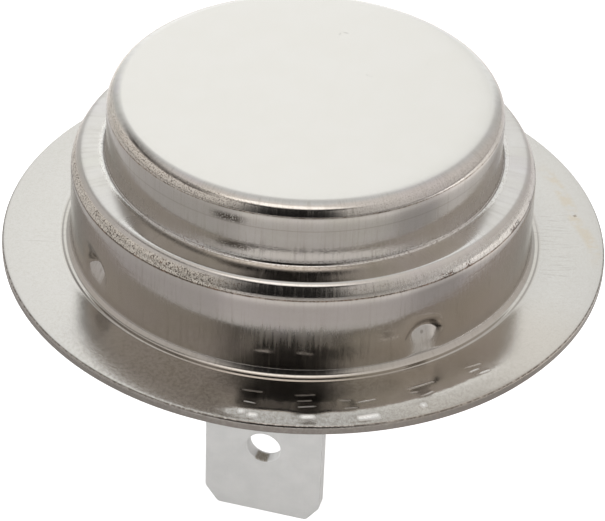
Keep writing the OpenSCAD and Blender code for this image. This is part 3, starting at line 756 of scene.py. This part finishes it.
    # the blanked rim is bare, rough metal with a ragged, dirty corner
    rim = t.m("SUBTRACT", r, t.m("MULTIPLY", t.m("COSINE", t.m("SUBTRACT", az, math.radians(TRIM_AZ))), TRIM_OFF))
    edge = t.m("MULTIPLY", t.sm(rim, 15.45, 15.485), t.sm(z, -0.09, -0.14))
    ragged = t.noise(t.xyz(t.m("MULTIPLY", ca, 15.5), t.m("MULTIPLY", sa, 15.5), t.m("MULTIPLY", z, 0.6)), 4.2, 4, 0.7)
    base = t.mix(t.m("MULTIPLY", edge, t.sm(ragged, 0.35, 0.65, 0.30, 0.85)), base, (0.36, 0.325, 0.30))
    burr = t.m("MULTIPLY", t.sm(t.m("ABSOLUTE", t.m("SUBTRACT", rim, t.m("ADD", 15.41, t.m("MULTIPLY", ragged, 0.07)))), 0.010, 0.040, 1, 0), t.sm(z, 0.25, 0.05))
    burr = t.m("MULTIPLY", burr, t.m("MULTIPLY", t.sm(ragged, 0.38, 0.56), t.sm(aside, 1.0, 2.2, 1.0, 0.25)))
    base = t.mix(t.m("MULTIPLY", burr, 0.80), base, (0.10, 0.08, 0.065))
    t.put(b.inputs["Base Color"], base)
    b.inputs["Metallic"].default_value = 1.0
    rough = t.m("ADD", 0.115, t.m("MULTIPLY", t.sm(mottle, 0.3, 0.8), 0.03))
    rough = t.m("ADD", rough, t.m("MULTIPLY", on_top, 0.09))
    rough = t.m("ADD", rough, t.m("MULTIPLY", flange, t.sm(r, 13.2, 14.6, 0.03, 0.10)))
    rough = t.m("ADD", rough, t.m("MULTIPLY", pit, 0.08))
    rough = t.m("ADD", rough, t.m("MULTIPLY", edge, 0.20))
    # drawn scratches and the strained belts scatter more
    rough = t.m("ADD", rough, t.m("MULTIPLY", t.m("MULTIPLY", t.sm(fine, 0.46, 0.72), t.m("SUBTRACT", drawn, flange)), 0.11))
    rough = t.m("ADD", rough, t.m("MULTIPLY", t.m("MULTIPLY", step_b, t.m("SUBTRACT", 1.0, mid)), 0.13))
    rough = t.m("ADD", rough, t.sm(painted_glint, 0.0, 0.5, 0.0, 0.20))
    rough = t.m("ADD", rough, t.m("MULTIPLY", ledge, t.sm(aside, 0.72, 0.95, 0.0, 0.16)))
    neck = t.m("MULTIPLY", belt(5.35, 6.2, 0.35, 9.8, 10.3), t.sm(aside, 0.65, 0.95))
    rough = t.m("ADD", rough, t.m("MULTIPLY", neck, 0.17))
    # handled more on the front of the wall
    dull = t.m("MULTIPLY", t.sm(aside, 0.08, 0.30, 1.0, 0.0), belt(1.75, 2.85, 0.45, 11.5, 11.9))
    rough = t.m("ADD", rough, t.m("MULTIPLY", dull, t.sm(fine, 0.30, 0.70, 0.13, 0.25)))
    t.put(b.inputs["Roughness"], rough)
    t.put(b.inputs["Anisotropic"], t.m("MULTIPLY", t.m("SUBTRACT", 1.0, t.m("MAXIMUM", on_top, t.m("MULTIPLY", flange, 0.5))), 0.80))
    tan = t.add("ShaderNodeTangent", direction_type="RADIAL", axis="Z")
    t.put(b.inputs["Tangent"], tan.outputs[0])
    # relief
    h1 = t.m("ADD", t.m("MULTIPLY", fine, 0.5), t.m("MULTIPLY", broad, 1.2))
    h1 = t.m("MULTIPLY", h1, drawn)
    n = t.bump(h1, 3.4e-6)
    n = t.bump(t.m("MULTIPLY", roll, on_top), 0.8e-6, normal=n)
    n = t.bump(t.m("MULTIPLY", mottle, drawn), 2.2e-6, normal=n)
    n = t.bump(t.m("MULTIPLY", grit, t.m("ADD", 1.0, t.m("MULTIPLY", flange, t.sm(aside, 0.5, 1.1, 7.0, 2.5)))), 0.35e-6, normal=n)
    n = t.bump(t.m("MULTIPLY", sand, sandy), 4.5e-6, normal=n)
    n = t.bump(t.m("MULTIPLY", pit, -1.0), 1.5e-6, normal=n)
    t.put(b.inputs["Normal"], n)
    return mat


cup.data.materials.append(nickel())
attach(cup, "root")
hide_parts("sensor_cup")


# --------------------------------------------------------------------------
# Spade tabs: a strip with two holes, cut flat with rounded edges, then bent
# --------------------------------------------------------------------------
TAB_W, TAB_T, TAB_Y, TAB_TIP = 6.3, 0.8, 6.13, 14.3
SEAT_Z = -3.7
FOOT_IN, RIVET_Y = 1.3, 3.3
BEND_IN = 0.3
BEND_MID = BEND_IN + TAB_T / 2
ARC = BEND_MID * math.pi / 2
BLADE_L = TAB_TIP + SEAT_Z - (BEND_IN + TAB_T)
FOOT_L = TAB_Y - BEND_IN - TAB_T - FOOT_IN


def rounded(points, radii, steps=5):
    """A closed outline with each corner rounded."""
    out = []
    n = len(points)
    for i in range(n):
        p0, p1, p2 = (Vector(points[(i + k) % n]) for k in (-1, 0, 1))
        r = radii[i]
        if r <= 0:
            out.append(tuple(p1))
            continue
        d0, d2 = (p0 - p1).normalized(), (p2 - p1).normalized()
        half = math.acos(max(-1, min(1, d0.dot(d2)))) / 2
        cut = r / math.tan(half)
        a, b = p1 + d0 * cut, p1 + d2 * cut
        c = p1 + (d0 + d2).normalized() * (r / math.sin(half))
        va, vb = a - c, b - c
        ang = va.angle_signed(vb)
        for k in range(steps + 1):
            q = -ang * k / steps
            cs, sn = math.cos(q), math.sin(q)
            out.append((c.x + va.x * cs - va.y * sn, c.y + va.x * sn + va.y * cs))
    return out


def plate_mesh(name, outline, holes, thick, edge, steps=3):
    """A flat plate in XY with rounded edges, centred on z = 0, in mm."""
    cu = bpy.data.curves.new(name, "CURVE")
    cu.dimensions = "2D"
    cu.fill_mode = "BOTH"
    for loop in [outline, *holes]:
        sp = cu.splines.new("POLY")
        sp.points.add(len(loop) - 1)
        for q, (px, py) in zip(sp.points, loop):
            q.co = (px, py, 0, 1)
        sp.use_cyclic_u = True
    cu.extrude = thick / 2 - edge
    cu.bevel_depth = edge
    cu.bevel_resolution = steps
    cu.offset = -edge
    ob = bpy.data.objects.new(name, cu)
    scene.collection.objects.link(ob)
    dg = bpy.context.evaluated_depsgraph_get()
    me = bpy.data.meshes.new_from_object(ob.evaluated_get(dg))
    bpy.data.objects.remove(ob)
    bpy.data.curves.remove(cu)
    return me


def make_tab(name, side):
    tip = -BLADE_L
    w = TAB_W / 2
    end = ARC + FOOT_L
    outline = rounded(
        [(-w, end), (-w, tip + 1.0), (-w + 0.7, tip), (w - 0.7, tip), (w, tip + 1.0), (w, end)],
        [0.12, 0.5, 0.3, 0.3, 0.5, 0.12],
    )
    hole_s = tip + (TAB_TIP - 9.9)
    ring = lambda cy, r, n: [(r * math.cos(2 * math.pi * k / n), cy + r * math.sin(2 * math.pi * k / n)) for k in range(n)]
    rivet_s = ARC + (TAB_Y - BEND_IN - TAB_T - RIVET_Y)
    me = plate_mesh(name, outline, [ring(hole_s, 0.9, 56), ring(rivet_s, 1.25, 48)], TAB_T, 0.07)
    bm = bmesh.new()
    bm.from_mesh(me)
    bmesh.ops.remove_doubles(bm, verts=bm.verts, dist=1e-4)
    for k in range(11):
        bmesh.ops.bisect_plane(
            bm, geom=bm.verts[:] + bm.edges[:] + bm.faces[:], dist=1e-5,
            plane_co=(0, ARC * k / 10, 0), plane_no=(0, 1, 0))
    # the punch that made the detent hole drew its edge in a little
    for v in bm.verts:
        d = math.hypot(v.co.x, v.co.y - hole_s)
        if d < 1.6 and v.co.z > 0.2:
            v.co.z -= 0.07 * math.exp(-((d - 0.9) / 0.16) ** 2)
    for v in bm.verts:
        px, s, n = v.co.x, v.co.y, v.co.z
        if s <= 0:
            yy, zz = -TAB_Y + TAB_T / 2 - n, SEAT_Z - BEND_IN - TAB_T + s
        elif s < ARC:
            q = s / BEND_MID
            rad = BEND_MID + n
            yy = -TAB_Y + BEND_IN + TAB_T - rad * math.cos(q)
            zz = SEAT_Z - BEND_IN - TAB_T + rad * math.sin(q)
        else:
            yy, zz = -TAB_Y + BEND_IN + TAB_T + (s - ARC), SEAT_Z - TAB_T / 2 + n
        v.co = Vector((px, yy, zz))
    if side > 0:
        bmesh.ops.rotate(bm, verts=bm.verts, cent=(0, 0, 0), matrix=Matrix.Rotation(math.pi, 3, "Z"))
    bmesh.ops.scale(bm, vec=(MM, MM, MM), verts=bm.verts)
    bmesh.ops.recalc_face_normals(bm, faces=bm.faces)
    bm.to_mesh(me)
    bm.free()
    me.polygons.foreach_set("use_smooth", [True] * len(me.polygons))
    ob = bpy.data.objects.new(name, me)
    scene.collection.objects.link(ob)
    wn = ob.modifiers.new("even_normals", "WEIGHTED_NORMAL")
    wn.weight = 100
    wn.mode = "FACE_AREA"
    return ob


def tin():
    mat, t, b = material("matt_tin_plate")
    p, x, y, z, az, r = place(t)
    grain = t.noise(t.xyz(t.m("MULTIPLY", x, 1.0), t.m("MULTIPLY", y, 1.0), t.m("MULTIPLY", z, 0.06)), 9, 4, 0.6)
    cloud = t.noise(p, 0.8, 4, 0.6)
    speck = t.noise(p, 22, 3, 0.6)
    col = t.mix(t.sm(cloud, 0.3, 0.7), (0.84, 0.84, 0.825), (0.90, 0.895, 0.88))
    col = t.mix(t.m("MULTIPLY", t.sm(grain, 0.55, 0.8), 0.18), col, (0.70, 0.69, 0.68))
    # sheared edges show the strip's own metal, in vertical tears
    side_face = t.sm(t.m("ABSOLUTE", x), 3.08, 3.13)
    tear = t.noise(t.xyz(x, t.m("MULTIPLY", y, 1.0), t.m("MULTIPLY", z, 0.15)), 14, 4, 0.7)
    col = t.mix(t.m("MULTIPLY", side_face, t.sm(tear, 0.4, 0.7, 0.0, 0.30)), col, (0.66, 0.65, 0.63))
    # the detent hole: painted light, its inner wall made near-white, with a little rust at the bottom
    hx, hz = t.m("ABSOLUTE", t.m("ADD", x, 0.12)), t.m("ADD", z, 9.9)
    bore = t.sm(t.m("SQRT", t.m("ADD", t.m("MULTIPLY", x, x), t.m("MULTIPLY", hz, hz))), 0.93, 0.97, 1, 0)
    col = t.mix(bore, col, (0.97, 0.97, 0.96))
    stain = t.m("MULTIPLY", t.m("MULTIPLY", bore, t.sm(hx, 0.26, 0.40, 1, 0)), t.m("MULTIPLY", t.sm(hz, -0.55, -0.68), t.sm(t.m("ABSOLUTE", y), 5.42, 5.52)))
    col = t.mix(t.m("MULTIPLY", stain, t.sm(speck, 0.36, 0.58, 0.45, 1.0)), col, (0.34, 0.29, 0.22))
    t.put(b.inputs["Base Color"], col)
    b.inputs["Metallic"].default_value = 0.15
    t.put(b.inputs["Roughness"], t.m("ADD", 0.42, t.m("MULTIPLY", cloud, 0.16)))
    n = t.bump(grain, 2.5e-6)
    n = t.bump(speck, 1.2e-6, normal=n)
    n = t.bump(t.m("MULTIPLY", tear, side_face), 8e-6, normal=n)
    t.put(b.inputs["Normal"], n)
    return mat


TIN = tin()
for node, side in (("terminal_front", -1), ("terminal_back", 1)):
    ob = make_tab(node + "_blade", side)
    ob.data.materials.clear()
    ob.data.materials.append(TIN)
    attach(ob, "root")
    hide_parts(node)


# --------------------------------------------------------------------------
# Moulded base and rivets
# --------------------------------------------------------------------------
def lathe(name, prof, n=128, centre=(0, 0)):
    """A closed turned solid: prof runs from the axis to the axis, or is a
    closed loop of (radius, height) if it never meets the axis. In mm."""
    bm = bmesh.new()
    rings = []
    for r, z in prof:
        if r < 1e-6:
            rings.append([bm.verts.new((0, 0, z))])
        else:
            rings.append([bm.verts.new((r * math.cos(2 * math.pi * k / n), r * math.sin(2 * math.pi * k / n), z)) for k in range(n)])
    loop = len(rings[0]) > 1
    for j in range(len(rings) - (0 if loop else 1)):
        a, b = rings[j], rings[(j + 1) % len(rings)]
        for k in range(n):
            k2 = (k + 1) % n
            if len(a) == 1:
                bm.faces.new((a[0], b[k], b[k2]))
            elif len(b) == 1:
                bm.faces.new((a[k], b[0], a[k2]))
            else:
                bm.faces.new((a[k], b[k], b[k2], a[k2]))
    bmesh.ops.translate(bm, verts=bm.verts, vec=(centre[0], centre[1], 0))
    bmesh.ops.scale(bm, vec=(MM, MM, MM), verts=bm.verts)
    bmesh.ops.recalc_face_normals(bm, faces=bm.faces)
    me = bpy.data.meshes.new(name)
    bm.to_mesh(me)
    bm.free()
    ob = bpy.data.objects.new(name, me)
    scene.collection.objects.link(ob)
    return ob


def block(name, lo, hi):
    bm = bmesh.new()
    bmesh.ops.create_cube(bm, size=1.0)
    for v in bm.verts:
        v.co = Vector([(lo[i] if v.co[i] < 0 else hi[i]) * MM for i in range(3)])
    me = bpy.data.meshes.new(name)
    bm.to_mesh(me)
    bm.free()
    ob = bpy.data.objects.new(name, me)
    scene.collection.objects.link(ob)
    return ob


def combine(ob, others, op):
    for o in others:
        mod = ob.modifiers.new("cut", "BOOLEAN")
        mod.operation, mod.object, mod.solver = op, o, "EXACT"
    dg = bpy.context.evaluated_depsgraph_get()
    me = bpy.data.meshes.new_from_object(ob.evaluated_get(dg))
    ob.modifiers.clear()
    ob.data = me
    for o in others:
        bpy.data.objects.remove(o)


def make_base():
    zb, rb = -4.2, 10.45
    rim_z, rim_r, top = 3.1, 11.3, STEP_H - SHEET
    prof = [(0, zb), (rb - 0.35, zb), (rb - 0.17, zb + 0.05), (rb - 0.05, zb + 0.17), (rb, zb + 0.35), (rb, -1.2), (rb, rim_z),
            (rim_r - 0.1, rim_z), (rim_r, rim_z + 0.1), (rim_r, top - 0.5), (rim_r - 0.5, top), (8.2, top), (8.2, -1.6), (0, -1.6)]
    ob = lathe("insulating_base_moulding", prof, 144)
    combine(ob, [block("rib", (-7, -0.6, zb - 2.0), (7, 0.6, zb + 0.5))], "UNION")
    cuts = []
    for s in (-1, 1):
        y0, y1 = sorted((s * (FOOT_IN - 0.1), s * (TAB_Y + 0.1)))
        cuts.append(block("seat", (-TAB_W / 2 - 0.08, y0, zb - 1.0), (TAB_W / 2 + 0.08, y1, SEAT_Z)))
        cuts.append(lathe("hole", [(0, -6), (1.25, -6), (1.25, -1), (0, -1)], 48, (0, s * RIVET_Y)))
        # shallow ejector marks left by the mould
        cuts.append(lathe("ejector", [(0, zb - 1), (0.9, zb - 1), (0.86, zb + 0.06), (0, zb + 0.06)], 40, (s * 7.6, 4.2)))
        cuts.append(lathe("ejector", [(0, zb - 1), (0.9, zb - 1), (0.86, zb + 0.06), (0, zb + 0.06)], 40, (s * 7.6, -4.2)))
    combine(ob, cuts, "DIFFERENCE")
    bv = ob.modifiers.new("edges", "BEVEL")
    bv.width, bv.segments, bv.limit_method, bv.angle_limit = 0.09 * MM, 2, "ANGLE", math.radians(40)
    ob.data.polygons.foreach_set("use_smooth", [True] * len(ob.data.polygons))
    wn = ob.modifiers.new("even_normals", "WEIGHTED_NORMAL")
    wn.weight = 100
    return ob


def phenolic():
    mat, t, b = material("black_phenolic")
    p, x, y, z, az, r = place(t)
    flow = t.noise(p, 0.9, 4, 0.6, 0.6)
    fleck = t.noise(p, 9.0, 3, 0.7)
    skin = t.noise(p, 16.0, 4, 0.6)
    col = t.mix(t.sm(flow, 0.3, 0.7), (0.022, 0.020, 0.019), (0.036, 0.033, 0.030))
    col = t.mix(t.m("MULTIPLY", t.sm(fleck, 0.60, 0.78), 0.5), col, (0.085, 0.075, 0.065))
    t.put(b.inputs["Base Color"], col)
    t.put(b.inputs["Roughness"], t.lin(flow, 0.2, 0.8, 0.36, 0.52))
    n = t.bump(skin, 5e-6)
    n = t.bump(flow, 14e-6, normal=n)
    t.put(b.inputs["Normal"], n)
    return mat


base = make_base()
base.data.materials.clear()
base.data.materials.append(phenolic())
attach(base, "root")
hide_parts("insulating_base")


def make_rivet(name, side):
    top, foot = -1.3, SEAT_Z - TAB_T
    prof = [
        (0, top - 0.2), (0.72, top - 0.2), (0.78, top - 0.12), (0.8, top + 0.1), (0.95, top + 0.36), (1.2, top + 0.45), (1.55, top + 0.42), (1.78, top + 0.3),
        (1.85, top + 0.12), (1.83, top + 0.02), (1.78, top), (1.2, top), (1.2, foot),
        (1.66, foot), (1.74, foot - 0.05), (1.75, foot - 0.16), (1.66, foot - 0.31), (1.45, foot - 0.42), (1.22, foot - 0.45),
        (1.0, foot - 0.42), (0.84, foot - 0.32), (0.76, foot - 0.15), (0.74, foot + 0.2), (0.74, top - 0.5), (0.6, top - 0.6), (0, top - 0.6),
    ]
    ob = lathe(name, prof, 64, (0, side * RIVET_Y))
    ob.data.polygons.foreach_set("use_smooth", [True] * len(ob.data.polygons))
    wn = ob.modifiers.new("even_normals", "WEIGHTED_NORMAL")
    wn.weight = 60
    return ob


def brass(name, light, dark, rough):
    mat, t, b = material(name)
    p, x, y, z, az, r = place(t)
    cloud = t.noise(p, 1.6, 4, 0.6)
    rub = t.noise(p, 14, 4, 0.65)
    col = t.mix(t.sm(cloud, 0.35, 0.7), light, dark)
    t.put(b.inputs["Base Color"], col)
    b.inputs["Metallic"].default_value = 1.0
    t.put(b.inputs["Roughness"], t.lin(cloud, 0.2, 0.8, rough, rough + 0.14))
    n = t.bump(rub, 2.5e-6)
    n = t.bump(cloud, 8e-6, normal=n)
    t.put(b.inputs["Normal"], n)
    return mat


RIVET = brass("dull_brass", (0.66, 0.53, 0.31), (0.52, 0.38, 0.20), 0.28)
for node, side in (("rivet_front", -1), ("rivet_back", 1)):
    ob = make_rivet(node + "_tube", side)
    ob.data.materials.append(RIVET)
    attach(ob, "root")
    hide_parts(node)


# --------------------------------------------------------------------------
# Inner pieces keep their own shapes and get their finishes
# --------------------------------------------------------------------------
def ceramic(name, light, dark, rough):
    mat, t, b = material(name)
    p, x, y, z, az, r = place(t)
    cloud = t.noise(p, 1.2, 4, 0.6)
    grain = t.noise(p, 20, 3, 0.6)
    t.put(b.inputs["Base Color"], t.mix(t.sm(cloud, 0.3, 0.7), light, dark))
    t.put(b.inputs["Roughness"], t.lin(grain, 0.2, 0.8, rough, rough + 0.15))
    t.put(b.inputs["Normal"], t.bump(grain, 6e-6))
    return mat


inner = {
    "contact_spring": brass("phosphor_bronze", (0.62, 0.41, 0.25), (0.52, 0.33, 0.19), 0.24),
    "contact_plate": brass("contact_brass", (0.70, 0.58, 0.34), (0.58, 0.45, 0.24), 0.22),
    "thermistor_disc": ceramic("thermistor_ceramic", (0.10, 0.10, 0.11), (0.07, 0.07, 0.075), 0.55),
    "thermistor_carrier": ceramic("carrier_ceramic", (0.78, 0.76, 0.70), (0.70, 0.67, 0.60), 0.6),
    "insulating_film": ceramic("amber_film", (0.60, 0.29, 0.05), (0.52, 0.23, 0.03), 0.15),
}
for node, mat in inner.items():
    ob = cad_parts[node]
    ob.data.materials.clear()
    ob.data.materials.append(mat)
